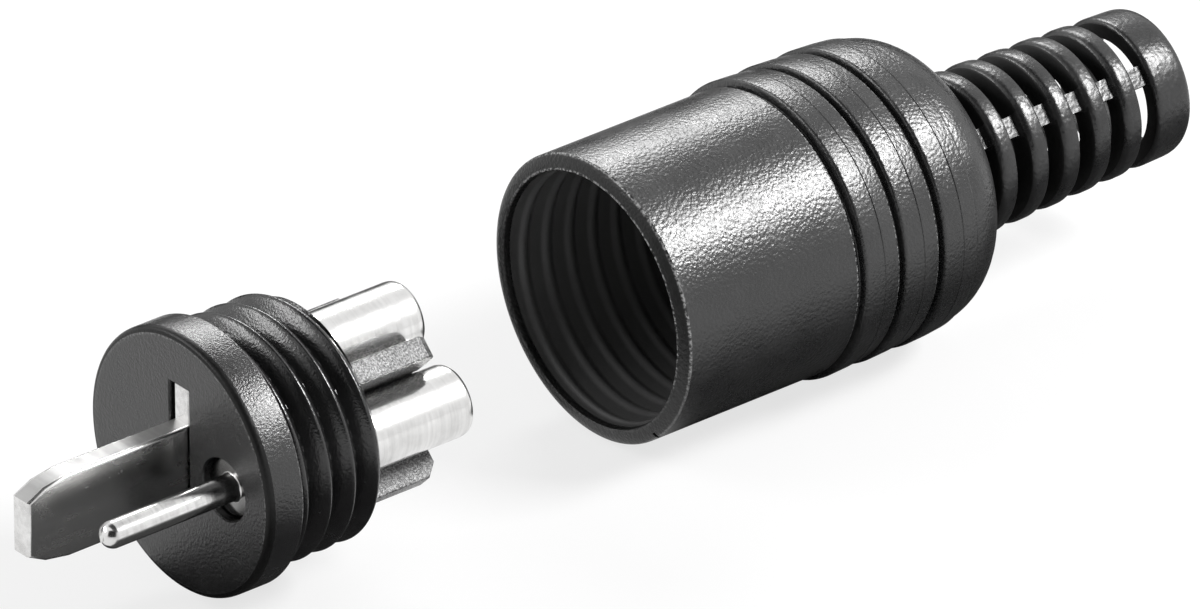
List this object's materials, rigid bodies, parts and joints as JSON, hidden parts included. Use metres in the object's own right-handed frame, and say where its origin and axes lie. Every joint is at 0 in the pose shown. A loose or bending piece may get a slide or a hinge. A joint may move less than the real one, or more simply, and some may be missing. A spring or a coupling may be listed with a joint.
{
  "type": "two-pole speaker plug",
  "caption": "Two-pole speaker plug with a flat blade and a round pin on a threaded insert, wire terminals behind it, and a ribbed screw-on cover with a slotted bend relief.",
  "frame": {"origin": "middle of the flange's front face, which meets the socket", "axes": "X is the plug's axis: -X towards the socket, +X towards the cable; the blade stands along Z with its terminal at +Z; the pin is at -Y"},
  "size_m": [0.0665, 0.0146, 0.0146],
  "materials": {
    "insert_plastic": "black moulded plastic with a fine grain",
    "cover_plastic": "black moulded plastic with a leather-like grain",
    "blade_metal": "nickel-plated, stamped",
    "terminal_metal": "nickel-plated, turned"
  },
  "bodies": {
    "insert": {"insert_body": "insert_plastic", "blade": "blade_metal", "blade_terminal": "terminal_metal", "pin_contact": "terminal_metal"},
    "cover": {"cover": "cover_plastic"}
  },
  "joints": [
    {"name": "cover_slide", "type": "slide", "parent": "insert", "child": "cover", "axis": [1, 0, 0], "range_m": [-0.0219, 0]}
  ]
}
